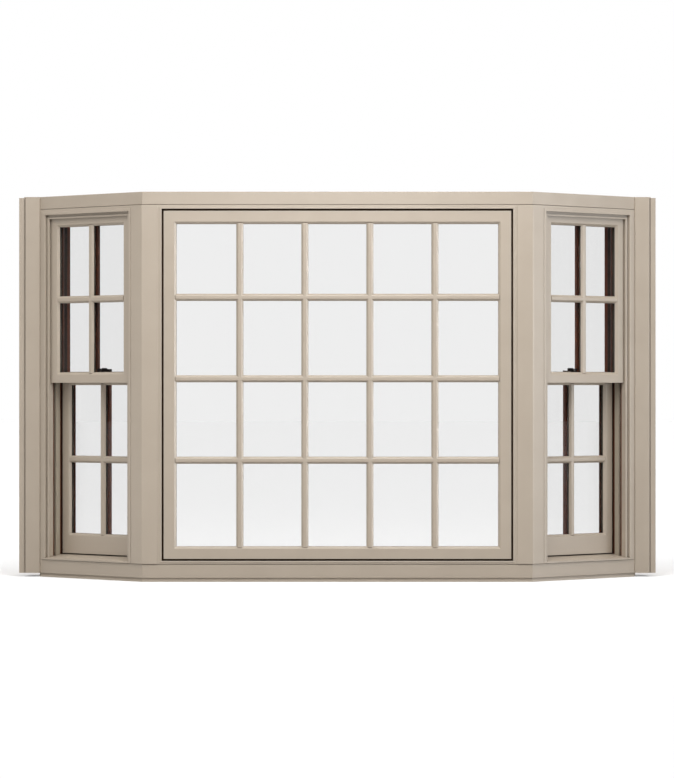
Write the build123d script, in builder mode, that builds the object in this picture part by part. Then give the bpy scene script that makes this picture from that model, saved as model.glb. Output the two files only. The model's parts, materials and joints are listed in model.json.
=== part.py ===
from build123d import *

import os
from math import cos, radians, sin, tan

# A three-unit bay window: a fixed picture window between two double-hung windows that turn back to the
# wall at 45 degrees. All of it is wood, clad outside in painted aluminium. Millimetres, Z up, outside
# towards -Y.

# ---- the bay in plan, on its outside faces
BAY_ANGLE = 45.0  # turn from the front to each side window
FRONT_WIDTH = 1224.0  # between the two outside corners
SIDE_WIDTH = 488.5  # from a corner to the wall cover
WALL_DEPTH = 116.0  # wall that the bay closes
WALL_FACE = 45.0  # width of a wall cover, seen from the front
WALL_GROOVE = 5.0  # between a wall cover and its outer strip
WALL_STRIP = 15.5
STRIP_SETBACK = 4.0
STRIP_THICKNESS = 6.0
STRIP_DROP = 3.0  # top of the strip below the top of the cover
GROOVE_DEPTH = 7.0
JOINT_FILLER = 7.0  # recessed joint between a side window and the wall cover
FILLER_SETBACK = 3.5

# ---- heights
BASE_HEIGHT = 12.0
BASE_SETBACK = 7.5
BASE_STRIP_HEIGHT = 6.5  # foot of the base, which stands forward under the shadow line
BASE_STRIP_SETBACK = 4.2
SEAT_HEIGHT = 44.0
UNIT_HEIGHT = 1123.0
HEAD_HEIGHT = 41.0

# ---- window frames
CASING_WIDTH = 18.5
CASING_SETBACK = 2.0  # flat of the casing behind the corner cover's face
BEAD_SETBACK = 0.5  # raised inner band of the casing
BEAD_ROUND = 1.2
CENTRE_BEAD = 5.5
SIDE_BEAD = 10.0
CASING_DEPTH = 20.0
CASING_LAP = 2.14  # casing beyond the wood jamb
MULLION_JOINT = 0.4
POST_JOINT = 0.3  # post to wood jamb, beside the mullion joint
COVER_THICKNESS = 10.0
COVER_LAP = 5.5  # corner cover over the casings
COVER_ROUND = 1.5
COVER_CORNER_ROUND = 3.0
FASCIA_THICKNESS = 18.0
FASCIA_SETBACK = 3.5
FASCIA_ROUND = 1.0
FASCIA_JOINT = 1.1  # shadow joint between a fascia and the windows
SIDE_SILL_JOINT = 0.5

# ---- sashes and their glass
SASH_THICKNESS = 40.0
SASH_CLADDING = 8.0
GLAZING_BEVEL = 7.0
ROOM_BEVEL = 15.5
PANE = 3.0
PANE_GAP = 9.9
SPACER_WIDTH = 8.0
GLASS_BITE = 12.0
GLASS_EDGE_GAP = 1.5

# ---- picture window in the middle
CENTRE_HEAD_CASING = 12.5
CENTRE_SILL_CASING = 9.5
CENTRE_REVEAL = 6.3  # open joint round the fixed sash
CENTRE_SASH_SETBACK = 2.0
CENTRE_STILE = 40.0
CENTRE_TOP_RAIL = 41.0
CENTRE_BOTTOM_RAIL = 39.0
CENTRE_SEAT_GAP = 2.5  # sash edge to wood jamb
CENTRE_STOP = 18.0

# ---- double-hung windows at the sides
SCREEN_GROOVE = 3.6  # between the casing and the blind stop, at the jambs
HEAD_GROOVE = 7.4  # taller, so that a screen can be lifted in
BLIND_STOP_REACH = 13.0  # inner edge of the blind stop from the casing
BLIND_STOP_SETBACK = 8.0
BLIND_STOP_THICKNESS = 3.3
STOP_WEB = 1.5  # floor of the screen groove, which carries the blind stop
STOP_SEAT = 3.0  # of the blind stop on its web
STOP_GAP = 5.7  # from the blind stop to the upper sash
LINER = 10.0
BALANCE_SLOT_START = 27.5  # behind the face of the window
BALANCE_SLOT_WIDTH = 12.5
SASH_RUN = 0.5
SASH_SIDE_GAP = 0.9
PARTING_GAP = 10.0  # between the two sashes
PARTING_SETBACK = 10.2  # outer track's edge in front of the lower sash
INNER_TRACK_SETBACK = 3.0  # inner track's edge behind the face of the lower sash
INNER_TRACK = 19.0
SASH_STILE = 36.1
TOP_RAIL = 37.5
UPPER_MEETING_RAIL = 33.0
LOWER_MEETING_RAIL = 42.5
BOTTOM_RAIL = 64.5
UPPER_SASH_BOTTOM = 567.0  # above the foot of the window
UPPER_SASH_HEAD_GAP = 2.0
MEETING_OFFSET = 35.0  # top of the lower sash above the bottom of the upper one
SILL_NOSE = 5.0
SILL_ANGLE = 9.0
SILL_SASH_GAP = 4.5
ROOM_STOP_WIDTH = 16.0
ROOM_STOP_THICKNESS = 3.0
ROOM_DAM = 34.0

# ---- sash lock
LOCK_BASE_LENGTH = 62.0
LOCK_BASE_WIDTH = 20.0
LOCK_BASE_HEIGHT = 3.5
LOCK_CAM_RADIUS = 9.5
LOCK_CAM_HEIGHT = 8.5
LOCK_LEVER_LENGTH = 34.0
LOCK_LEVER_WIDTH = 8.0
LOCK_LEVER_HEIGHT = 5.0
LOCK_SETBACK = 3.0
LOCK_CAM_ROUND = 2.5
KEEPER_LENGTH = 46.0
KEEPER_FLANGE = 2.5
KEEPER_ARCH_WIDTH = 30.0
KEEPER_HEIGHT = 12.0
KEEPER_SLOPE = 70.0
KEEPER_HOLLOW = 7.0

# ---- room side
CORNER_TRIM_LEG = 28.0
CORNER_TRIM_THICKNESS = 9.0

# ---- worked out from the above
GLASS_DEPTH = SASH_CLADDING
GLASS_THICKNESS = 2 * PANE + PANE_GAP
STOP_BACK = BLIND_STOP_SETBACK + BLIND_STOP_THICKNESS
UPPER_DEPTH = STOP_BACK + STOP_GAP
LOWER_DEPTH = UPPER_DEPTH + SASH_THICKNESS + PARTING_GAP
ROOM_STOP_DEPTH = LOWER_DEPTH + SASH_THICKNESS + SASH_RUN
FRAME_DEPTH = ROOM_STOP_DEPTH + ROOM_STOP_THICKNESS

TURN = radians(BAY_ANGLE)
MITRE = tan(TURN / 2)
PROJECTION = SIDE_WIDTH * sin(TURN)
TOTAL_DEPTH = PROJECTION + WALL_DEPTH
Y_FRONT = -TOTAL_DEPTH / 2
Y_WALL = Y_FRONT + PROJECTION
Y_ROOM = Y_FRONT + TOTAL_DEPTH
FRONT_HALF = FRONT_WIDTH / 2
SHOULDER = FRONT_HALF + SIDE_WIDTH * cos(TURN)
WALL_EDGE = SHOULDER + WALL_FACE + WALL_GROOVE
Y_BOARDS = Y_WALL + FASCIA_THICKNESS * cos(TURN)  # where the boards and posts start behind the wall covers
CORNER_COVER = FRAME_DEPTH * MITRE + MULLION_JOINT - CASING_LAP
CENTRE_WIDTH = FRONT_WIDTH - 2 * CORNER_COVER
SIDE_UNIT_END = SIDE_WIDTH - JOINT_FILLER
SIDE_UNIT = SIDE_UNIT_END - CORNER_COVER

Z_SEAT = BASE_HEIGHT + SEAT_HEIGHT
Z_HEAD = Z_SEAT + UNIT_HEIGHT
Z_TOP = Z_HEAD + HEAD_HEIGHT

NEAR = 0.01  # tolerance for finding an edge

os.makedirs("parts", exist_ok=True)


# ---------------------------------------------------------------- helpers


def write(piece, label):
    """Labels a finished piece and writes it as its own file."""
    piece.label = label
    export_step(piece, f"parts/{label}.step")


def unit_face(side):
    """Outside face of a window unit, side -1, 0 or 1: X along it, Y up, the normal pointing out."""
    turn = side * TURN
    along = abs(side) * (CORNER_COVER + SIDE_UNIT / 2)
    origin = (side * (FRONT_HALF + along * cos(TURN)), Y_FRONT + along * sin(TURN), 0)
    return Plane(origin=origin, x_dir=(cos(turn), sin(turn), 0), z_dir=(sin(turn), -cos(turn), 0))


def cross_section(face):
    """Upright plane across a unit: X runs inwards from the outside face, and Y up."""
    return Plane(origin=face.origin, x_dir=-face.z_dir, z_dir=face.x_dir)


def corner(side, inset):
    """Point on the mitre line of an outside corner of the bay, at a depth behind both faces."""
    return (side * (FRONT_HALF - inset * MITRE), Y_FRONT + inset)


def on_side(side, along, inset):
    """Point beside a side window: along its face from the corner, and behind it."""
    x = FRONT_HALF + along * cos(TURN) - inset * sin(TURN)
    y = Y_FRONT + along * sin(TURN) + inset * cos(TURN)
    return (side * x, y)


def grown(frame, margin):
    """A (width, bottom, top) rectangle with a margin added all round."""
    width, bottom, top = frame
    return (width + 2 * margin, bottom - margin, top + margin)


def rectangle(frame, mode=Mode.ADD):
    """Rectangle in an upright sketch from (width, bottom, top)."""
    width, bottom, top = frame
    with Locations((0, (bottom + top) / 2)):
        Rectangle(width, top - bottom, mode=mode)


def ring(face, depth, thickness, outer, opening):
    """Rectangular frame lying at a depth behind a unit's outside face."""
    with BuildSketch(face.offset(-depth)) as profile:
        rectangle(outer)
        rectangle(opening, mode=Mode.SUBTRACT)
    extrude(profile.sketch, amount=-thickness)


def slab(points, bottom, height):
    """Upright solid over a plan outline."""
    with BuildSketch(Plane.XY.offset(bottom)) as plan:
        with BuildLine():
            Polyline(*points, close=True)
        make_face()
    extrude(plan.sketch, amount=height)


def upright_edges(builder, points):
    """Upright edges of the piece being built that stand on given plan points."""
    found = []
    for edge in builder.edges().filter_by(Axis.Z):
        level = edge.center().Z
        if any(edge.distance_to((x, y, level)) < NEAR for x, y in points):
            found.append(edge)
    return found


def plan_faces(builder, face):
    """Faces of the piece being built, sorted from the outside of the bay to the room."""
    return builder.faces().sort_by(Axis(face.origin, -face.z_dir))


def sill_height(depth):
    """Height of the sloping sill above the foot of the window."""
    return SILL_NOSE + depth * tan(radians(SILL_ANGLE))


def under_sill_line(face, width, clearance, front, back, mode):
    """Solid from the foot of the window to the sill's slope, raised by a clearance."""
    with BuildSketch(cross_section(face)) as profile:
        with BuildLine():
            Polyline(
                (front, Z_SEAT),
                (front, Z_SEAT + sill_height(front) + clearance),
                (back, Z_SEAT + sill_height(back) + clearance),
                (back, Z_SEAT),
                close=True,
            )
        make_face()
    extrude(profile.sketch, amount=width / 2, both=True, mode=mode)


# ---------------------------------------------------------------- boards that the windows stand between


def bay_outline(half_width, inset):
    """Plan of the bay at a depth behind its outside faces, out to a half width in the wall."""
    right = [
        corner(1, inset),
        on_side(1, SIDE_WIDTH, inset),
        (half_width, Y_BOARDS),
        (half_width, Y_ROOM),
    ]
    return right + [(-x, y) for x, y in reversed(right)]


def boards():
    """Head board, seat board and the base under the seat."""
    with BuildPart() as head_board:
        slab(bay_outline(WALL_EDGE, FASCIA_THICKNESS), Z_HEAD, HEAD_HEIGHT)
    write(head_board.part, "head_board")
    with BuildPart() as seat_board:
        slab(bay_outline(WALL_EDGE, FASCIA_THICKNESS), BASE_HEIGHT, SEAT_HEIGHT)
    write(seat_board.part, "seat_board")
    with BuildPart() as seat_base:
        slab(bay_outline(SHOULDER, BASE_SETBACK), 0, BASE_HEIGHT)
        slab(bay_outline(SHOULDER, BASE_STRIP_SETBACK), 0, BASE_STRIP_HEIGHT)
    write(seat_base.part, "seat_base")


def fascia_run(side):
    """Plan of one mitred fascia length: the front for side 0, or beside a side window."""
    near, far = FASCIA_SETBACK, FASCIA_THICKNESS
    if side == 0:
        return [corner(-1, near), corner(1, near), corner(1, far), corner(-1, far)]
    return [
        corner(side, near),
        on_side(side, SIDE_WIDTH, near),
        on_side(side, SIDE_WIDTH, far),
        corner(side, far),
    ]


def fascias():
    """Aluminium fascia round the head board and the seat board, in three mitred lengths each."""
    names = {-1: "left", 0: "front", 1: "right"}
    for side, name in names.items():
        face = unit_face(side)
        sill_joint = SIDE_SILL_JOINT if side else FASCIA_JOINT
        levels = (
            ("head", Z_HEAD + FASCIA_JOINT, HEAD_HEIGHT - FASCIA_JOINT),
            ("sill", BASE_HEIGHT, SEAT_HEIGHT - sill_joint),
        )
        for level, bottom, height in levels:
            with BuildPart() as fascia:
                slab(fascia_run(side), bottom, height)
                outside = plan_faces(fascia, face)[0]
                fillet(outside.edges().filter_by(Plane.XY), FASCIA_ROUND)
            write(fascia.part, f"{name}_{level}_fascia")


def corner_posts():
    """Wood mullion post, its aluminium cover and the trim in the room, at each corner."""
    wood_edge = FRAME_DEPTH * MITRE - POST_JOINT
    for side, name in ((-1, "left"), (1, "right")):
        front_edge = FRONT_HALF - CORNER_COVER
        front_wood = FRONT_HALF - wood_edge
        with BuildPart() as post:
            slab(
                [
                    corner(side, COVER_THICKNESS),
                    (side * front_edge, Y_FRONT + COVER_THICKNESS),
                    (side * front_edge, Y_FRONT + CASING_DEPTH),
                    (side * front_wood, Y_FRONT + CASING_DEPTH),
                    corner(side, wood_edge / MITRE),
                    on_side(side, wood_edge, CASING_DEPTH),
                    on_side(side, CORNER_COVER, CASING_DEPTH),
                    on_side(side, CORNER_COVER, COVER_THICKNESS),
                ],
                Z_SEAT,
                UNIT_HEIGHT,
            )
        write(post.part, f"{name}_corner_post")

        with BuildPart() as cover:
            front_lap = front_edge - COVER_LAP
            side_lap = CORNER_COVER + COVER_LAP
            slab(
                [
                    (side * front_lap, Y_FRONT),
                    corner(side, 0),
                    on_side(side, side_lap, 0),
                    on_side(side, side_lap, CASING_SETBACK),
                    on_side(side, CORNER_COVER, CASING_SETBACK),
                    on_side(side, CORNER_COVER, COVER_THICKNESS),
                    corner(side, COVER_THICKNESS),
                    (side * front_edge, Y_FRONT + COVER_THICKNESS),
                    (side * front_edge, Y_FRONT + CASING_SETBACK),
                    (side * front_lap, Y_FRONT + CASING_SETBACK),
                ],
                Z_SEAT,
                UNIT_HEIGHT,
            )
            fillet(upright_edges(cover, [corner(side, 0)]), COVER_CORNER_ROUND)
            ends = [(side * front_lap, Y_FRONT), on_side(side, side_lap, 0)]
            fillet(upright_edges(cover, ends), COVER_ROUND)
        write(cover.part, f"{name}_corner_cover")

        with BuildPart() as trim:
            leg = CORNER_TRIM_LEG
            near, far = FRAME_DEPTH, FRAME_DEPTH + CORNER_TRIM_THICKNESS
            slab(
                [
                    (side * (corner(1, near)[0] - leg), Y_FRONT + near),
                    (side * (corner(1, near)[0] - leg), Y_FRONT + far),
                    corner(side, far),
                    on_side(side, near * MITRE + leg, far),
                    on_side(side, near * MITRE + leg, near),
                    corner(side, near),
                ],
                Z_SEAT,
                UNIT_HEIGHT,
            )
        write(trim.part, f"{name}_corner_trim")


def wall_posts():
    """Wood post through the wall and its aluminium cover with an outer strip, at each end of the bay."""
    wood_edge = SIDE_UNIT_END - CASING_LAP + POST_JOINT
    for side, name in ((-1, "left"), (1, "right")):
        cover_end = on_side(side, SIDE_WIDTH, FASCIA_THICKNESS)
        with BuildPart() as post:
            slab(
                [
                    cover_end,
                    (side * WALL_EDGE, Y_BOARDS),
                    (side * WALL_EDGE, Y_ROOM),
                    (on_side(side, wood_edge, FRAME_DEPTH)[0], Y_ROOM),
                    on_side(side, wood_edge, FRAME_DEPTH),
                    on_side(side, wood_edge, CASING_DEPTH),
                    on_side(side, SIDE_UNIT_END, CASING_DEPTH),
                    on_side(side, SIDE_UNIT_END, FASCIA_THICKNESS),
                ],
                Z_SEAT,
                UNIT_HEIGHT,
            )
        write(post.part, f"{name}_wall_post")

        groove = SHOULDER + WALL_FACE
        strip_end = WALL_EDGE + WALL_STRIP
        with BuildPart() as cover:
            slab(
                [
                    (side * SHOULDER, Y_WALL),
                    (side * groove, Y_WALL),
                    (side * groove, Y_WALL + GROOVE_DEPTH),
                    (side * WALL_EDGE, Y_WALL + GROOVE_DEPTH),
                    (side * WALL_EDGE, Y_BOARDS),
                    cover_end,
                ],
                BASE_HEIGHT,
                Z_TOP - BASE_HEIGHT,
            )
            fillet(upright_edges(cover, [(side * SHOULDER, Y_WALL), (side * groove, Y_WALL)]), COVER_ROUND)
            slab(
                [
                    (side * WALL_EDGE, Y_WALL + STRIP_SETBACK),
                    (side * strip_end, Y_WALL + STRIP_SETBACK),
                    (side * strip_end, Y_WALL + STRIP_SETBACK + STRIP_THICKNESS),
                    (side * WALL_EDGE, Y_WALL + STRIP_SETBACK + STRIP_THICKNESS),
                ],
                BASE_HEIGHT,
                Z_TOP - BASE_HEIGHT - STRIP_DROP,
            )
            slab(
                [
                    on_side(side, SIDE_WIDTH, FILLER_SETBACK),
                    cover_end,
                    on_side(side, SIDE_UNIT_END, FASCIA_THICKNESS),
                    on_side(side, SIDE_UNIT_END, FILLER_SETBACK),
                ],
                Z_SEAT,
                UNIT_HEIGHT,
            )
        write(cover.part, f"{name}_wall_cover")


# ---------------------------------------------------------------- sashes, shared by all the windows


def make_sash(name, face, depth, outer, sight, sill_cut=False, square_rail=False):
    """Sash as an aluminium face and a wood frame that holds the glass between them.

    sill_cut slopes the bottom rail to the sill, and square_rail leaves its room edge square for a keeper.
    """
    pocket = grown(sight, GLASS_BITE)
    wood_depth = depth + SASH_CLADDING
    lip_depth = depth + GLASS_DEPTH + GLASS_THICKNESS
    with BuildPart() as cladding:
        ring(face, depth, SASH_CLADDING, outer, sight)
        outside = plan_faces(cladding, face)[0]
        chamfer(outside.inner_wires()[0].edges(), GLAZING_BEVEL)
        if sill_cut:
            under_sill_line(face, outer[0], SILL_SASH_GAP, depth, wood_depth, Mode.SUBTRACT)
    write(cladding.part, f"{name}_cladding")
    with BuildPart() as wood:
        ring(face, wood_depth, GLASS_THICKNESS, outer, pocket)
        ring(face, lip_depth, depth + SASH_THICKNESS - lip_depth, outer, sight)
        room_side = plan_faces(wood, face)[-1]
        moulded = room_side.inner_wires()[0].edges().sort_by(Axis.Z)
        chamfer(moulded[1:] if square_rail else moulded, ROOM_BEVEL)
        if sill_cut:
            under_sill_line(face, outer[0], SILL_SASH_GAP, wood_depth, depth + SASH_THICKNESS, Mode.SUBTRACT)
    write(wood.part, f"{name}_wood")


def glass_panes(face, depth, sight):
    """Two panes of an insulated glass unit, in the part being built."""
    edge = grown(sight, GLASS_BITE - GLASS_EDGE_GAP)
    for pane_depth in (depth + GLASS_DEPTH, depth + GLASS_DEPTH + PANE + PANE_GAP):
        with BuildSketch(face.offset(-pane_depth)) as outline:
            rectangle(edge)
        extrude(outline.sketch, amount=-PANE)


def glass_spacer(face, depth, sight):
    """Spacer between the two panes, just outside the sight line."""
    edge = grown(sight, GLASS_BITE - GLASS_EDGE_GAP)
    ring(face, depth + GLASS_DEPTH + PANE, PANE_GAP, edge, grown(edge, -SPACER_WIDTH))


# ---------------------------------------------------------------- picture window


def centre_sash_sizes():
    """Outline and sight line of the fixed sash, as (width, bottom, top)."""
    opening = centre_casing_opening()
    outer = grown(opening, -CENTRE_REVEAL)
    sight = (
        outer[0] - 2 * CENTRE_STILE,
        outer[1] + CENTRE_BOTTOM_RAIL,
        outer[2] - CENTRE_TOP_RAIL,
    )
    return outer, sight


def centre_casing_opening():
    """Opening inside the casing of the picture window."""
    return (CENTRE_WIDTH - 2 * CASING_WIDTH, Z_SEAT + CENTRE_SILL_CASING, Z_HEAD - CENTRE_HEAD_CASING)


def picture_window():
    """Fixed window in the middle of the bay."""
    face = unit_face(0)
    casing = (CENTRE_WIDTH, Z_SEAT, Z_HEAD)
    opening = centre_casing_opening()
    outer, sight = centre_sash_sizes()
    sash_back = CENTRE_SASH_SETBACK + SASH_THICKNESS
    with BuildPart() as cladding:
        ring(face, CASING_SETBACK, CASING_DEPTH - CASING_SETBACK, casing, opening)
        ring(face, BEAD_SETBACK, CASING_SETBACK - BEAD_SETBACK, grown(opening, CENTRE_BEAD), opening)
        fillet(plan_faces(cladding, face)[0].edges(), BEAD_ROUND)
    write(cladding.part, "centre_frame_cladding")
    wood = (CENTRE_WIDTH - 2 * CASING_LAP, Z_SEAT, Z_HEAD)
    seat = grown(outer, CENTRE_SEAT_GAP)
    with BuildPart() as frame:
        ring(face, CASING_DEPTH, sash_back - CASING_DEPTH, wood, seat)
        ring(face, sash_back, FRAME_DEPTH - sash_back, wood, grown(outer, -CENTRE_STOP))
    write(frame.part, "centre_frame_wood")
    make_sash("centre_sash", face, CENTRE_SASH_SETBACK, outer, sight)
    with BuildPart() as glass:
        glass_panes(face, CENTRE_SASH_SETBACK, sight)
    write(glass.part, "centre_glass")


# ---------------------------------------------------------------- double-hung windows


def side_sash_sizes():
    """Outlines and sight lines of the upper and the lower sash, as (width, bottom, top)."""
    width = SIDE_UNIT - 2 * (CASING_WIDTH + LINER + SASH_SIDE_GAP)
    glass_width = width - 2 * SASH_STILE
    upper_bottom = Z_SEAT + UPPER_SASH_BOTTOM
    upper_top = Z_HEAD - CASING_WIDTH - UPPER_SASH_HEAD_GAP
    lower_bottom = Z_SEAT + sill_height(LOWER_DEPTH) + SILL_SASH_GAP
    lower_top = upper_bottom + MEETING_OFFSET
    upper = (width, upper_bottom, upper_top)
    lower = (width, lower_bottom, lower_top)
    upper_sight = (glass_width, upper_bottom + UPPER_MEETING_RAIL, upper_top - TOP_RAIL)
    lower_sight = (glass_width, lower_bottom + BOTTOM_RAIL, lower_top - LOWER_MEETING_RAIL)
    return upper, upper_sight, lower, lower_sight


def inside(opening, jamb_inset, head_inset):
    """(width, bottom, top) opening made smaller at its jambs and its head, down to the same foot."""
    width, bottom, top = opening
    return (width - 2 * jamb_inset, bottom, top - head_inset)


def jamb_strip(face, front, back, opening, thickness):
    """Strip on both jambs of an opening, from one depth behind the face to another."""
    width, bottom, top = opening
    ring(face, front, back - front, opening, (width - 2 * thickness, bottom, top))


def double_hung_frame(name, face):
    """Cladding, wood jambs, sloping sill and jamb liners of a side window."""
    casing = (SIDE_UNIT, Z_SEAT, Z_HEAD)
    opening = (SIDE_UNIT - 2 * CASING_WIDTH, Z_SEAT, Z_HEAD - CASING_WIDTH)
    bead = (opening[0] + 2 * SIDE_BEAD, Z_SEAT, opening[2] + SIDE_BEAD)
    stop = inside(opening, SCREEN_GROOVE, HEAD_GROOVE)
    stop_opening = inside(opening, BLIND_STOP_REACH, BLIND_STOP_REACH)
    with BuildPart() as cladding:
        ring(face, CASING_SETBACK, CASING_DEPTH - CASING_SETBACK, casing, opening)
        ring(face, BEAD_SETBACK, CASING_SETBACK - BEAD_SETBACK, bead, opening)
        fillet(plan_faces(cladding, face)[0].edges(), BEAD_ROUND)
        ring(face, BLIND_STOP_SETBACK, BLIND_STOP_THICKNESS, stop, stop_opening)
        ring(face, STOP_BACK, STOP_WEB, opening, inside(stop, STOP_SEAT, STOP_SEAT))
        jamb_strip(face, STOP_BACK + STOP_WEB, BALANCE_SLOT_START, opening, LINER)
        under_sill_line(face, opening[0], 0, 0, BALANCE_SLOT_START, Mode.SUBTRACT)
    write(cladding.part, f"{name}_frame_cladding")

    wood = (SIDE_UNIT - 2 * CASING_LAP, Z_SEAT, Z_HEAD)
    room_opening = (opening[0], Z_SEAT + ROOM_DAM, opening[2] - ROOM_STOP_WIDTH)
    with BuildPart() as frame:
        ring(face, CASING_DEPTH, ROOM_STOP_DEPTH - CASING_DEPTH, wood, opening)
        ring(face, ROOM_STOP_DEPTH, ROOM_STOP_THICKNESS, wood, room_opening)
    write(frame.part, f"{name}_frame_wood")

    with BuildPart() as sill:
        under_sill_line(face, opening[0], 0, 0, ROOM_STOP_DEPTH, Mode.ADD)
    write(sill.part, f"{name}_sill")

    slot_end = BALANCE_SLOT_START + BALANCE_SLOT_WIDTH
    inner_track = LOWER_DEPTH + INNER_TRACK_SETBACK
    liner_end = inner_track + INNER_TRACK
    with BuildPart() as liners:
        jamb_strip(face, slot_end, LOWER_DEPTH - PARTING_SETBACK, opening, LINER)
        jamb_strip(face, inner_track, liner_end, opening, LINER)
        under_sill_line(face, opening[0], 0, slot_end, liner_end, Mode.SUBTRACT)
    write(liners.part, f"{name}_jamb_liners")


def sash_lock(name, face):
    """Cam lock on the lower sash's meeting rail and its arched keeper on the upper sash's."""
    upper, upper_sight, lower, lower_sight = side_sash_sizes()
    rail_top = lower[2]
    lock_line = LOWER_DEPTH + LOCK_BASE_WIDTH / 2 + LOCK_SETBACK
    level = Plane(origin=face.origin, x_dir=face.x_dir, z_dir=(0, 0, 1))
    with BuildPart() as lock:
        with BuildSketch(level.offset(rail_top)):
            with Locations((0, lock_line)):
                SlotOverall(LOCK_BASE_LENGTH, LOCK_BASE_WIDTH)
        extrude(amount=LOCK_BASE_HEIGHT)
        with BuildSketch(level.offset(rail_top + LOCK_BASE_HEIGHT)):
            with Locations((0, lock_line)):
                Circle(LOCK_CAM_RADIUS)
        extrude(amount=LOCK_CAM_HEIGHT)
        fillet(lock.faces().sort_by(Axis.Z)[-1].edges(), LOCK_CAM_ROUND)
        with BuildSketch(level.offset(rail_top + LOCK_BASE_HEIGHT)):
            with Locations((LOCK_LEVER_LENGTH / 2, lock_line)):
                SlotOverall(LOCK_LEVER_LENGTH, LOCK_LEVER_WIDTH)
        extrude(amount=LOCK_LEVER_HEIGHT)
    keeper_depth = SASH_THICKNESS - SASH_CLADDING - GLASS_THICKNESS - SASH_RUN
    with BuildPart() as keeper:
        foot = upper_sight[1]
        with BuildSketch(face.offset(-(UPPER_DEPTH + SASH_THICKNESS))):
            with Locations((0, foot)):
                Rectangle(KEEPER_LENGTH, KEEPER_FLANGE, align=(Align.CENTER, Align.MIN))
                Trapezoid(KEEPER_ARCH_WIDTH, KEEPER_HEIGHT, KEEPER_SLOPE, align=(Align.CENTER, Align.MIN))
                Circle(KEEPER_HOLLOW, mode=Mode.SUBTRACT)
        extrude(amount=keeper_depth)
    write(Compound(children=[lock.part, keeper.part]), f"{name}_sash_lock")


def double_hung_windows():
    """The two side windows, each with an upper sash outside and a lower sash behind it."""
    upper, upper_sight, lower, lower_sight = side_sash_sizes()
    for side, name in ((-1, "left"), (1, "right")):
        face = unit_face(side)
        double_hung_frame(name, face)
        make_sash(f"{name}_upper_sash", face, UPPER_DEPTH, upper, upper_sight, square_rail=True)
        make_sash(f"{name}_lower_sash", face, LOWER_DEPTH, lower, lower_sight, sill_cut=True)
        with BuildPart() as glass:
            glass_panes(face, UPPER_DEPTH, upper_sight)
            glass_panes(face, LOWER_DEPTH, lower_sight)
        write(glass.part, f"{name}_glass")
        sash_lock(name, face)


def glass_spacers():
    """Spacers of all the insulated glass units."""
    _, centre_sight = centre_sash_sizes()
    _, upper_sight, _, lower_sight = side_sash_sizes()
    with BuildPart() as spacers:
        glass_spacer(unit_face(0), CENTRE_SASH_SETBACK, centre_sight)
        for side in (-1, 1):
            glass_spacer(unit_face(side), UPPER_DEPTH, upper_sight)
            glass_spacer(unit_face(side), LOWER_DEPTH, lower_sight)
    write(spacers.part, "glass_spacers")


boards()
fascias()
corner_posts()
wall_posts()
picture_window()
double_hung_windows()
glass_spacers()
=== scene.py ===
import json
from math import radians

import bpy
from mathutils import Matrix, Vector


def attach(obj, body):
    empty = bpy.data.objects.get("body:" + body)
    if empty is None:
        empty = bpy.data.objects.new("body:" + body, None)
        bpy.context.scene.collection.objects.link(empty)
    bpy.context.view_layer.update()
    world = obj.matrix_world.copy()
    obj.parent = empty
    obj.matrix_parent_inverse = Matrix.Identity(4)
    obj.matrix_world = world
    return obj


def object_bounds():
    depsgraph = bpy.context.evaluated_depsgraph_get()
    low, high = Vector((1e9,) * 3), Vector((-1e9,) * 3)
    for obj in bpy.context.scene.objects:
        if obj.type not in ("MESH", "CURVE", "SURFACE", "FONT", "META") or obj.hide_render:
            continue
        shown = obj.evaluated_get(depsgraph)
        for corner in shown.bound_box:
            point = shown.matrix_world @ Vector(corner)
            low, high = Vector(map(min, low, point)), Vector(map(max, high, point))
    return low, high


bl_info = {
    "name": "Angled bay window finishes",
    "version": (1, 0, 0),
    "blender": (4, 5, 0),
    "location": "View3D > Sidebar > Bay",
    "description": "Glazing bars, seals, lock screws and finishes for a three-unit bay window",
    "category": "Object",
}

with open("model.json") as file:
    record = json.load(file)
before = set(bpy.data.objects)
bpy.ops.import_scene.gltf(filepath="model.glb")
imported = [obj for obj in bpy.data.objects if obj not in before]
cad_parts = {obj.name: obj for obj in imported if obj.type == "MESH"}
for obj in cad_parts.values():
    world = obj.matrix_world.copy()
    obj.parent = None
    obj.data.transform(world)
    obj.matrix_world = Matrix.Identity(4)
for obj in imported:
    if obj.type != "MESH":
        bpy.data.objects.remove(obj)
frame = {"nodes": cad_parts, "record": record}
CAD_BOX = [list(point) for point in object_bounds()]

BAY_ANGLE = radians(45)
SIDES = {"left": -1, "centre": 0, "right": 1}
SASHES = (
    ("centre", "centre_sash"),
    ("left", "left_upper_sash"),
    ("left", "left_lower_sash"),
    ("right", "right_upper_sash"),
    ("right", "right_lower_sash"),
)

# points closer than this are at the same place
TOUCHING = 1e-5
# further than any point of the bay: no point passes it as a limit, and every point passes its negative
FAR = 9.0
# a stile is taken from this much inside its edge, so that the edge itself counts as stile
STILE_MARGIN = 0.0005

# thickness of one sheet of glass
PANE = 0.003
# how far each layer of bars runs on past the edge of the glass that shows, into its sash
OUTSIDE_OVERRUN = 0.0032
INSIDE_OVERRUN = 0.0065
BETWEEN_OVERRUN = 0.002

# height and flat top of a screw's head, as shares of its radius
HEAD_HEIGHT = 0.4
HEAD_TOP = 0.7

FLOOR_REACH = 60.0
FLOOR_SHADE = (0.57, 0.57, 0.57, 1.0)
# how much the floor glows where it is seen, and how much more where the camera sees it straight
FLOOR_GLOW = 0.2
FLOOR_GLOW_STRAIGHT = 0.05
# the camera stands a little to the left of the middle
CAMERA_ASIDE = -0.00125


# ---------------------------------------------------------------- where things are in the frame


def turn_of(side):
    """Turn of a window of the bay, from facing the front."""
    return SIDES[side] * BAY_ANGLE


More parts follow.
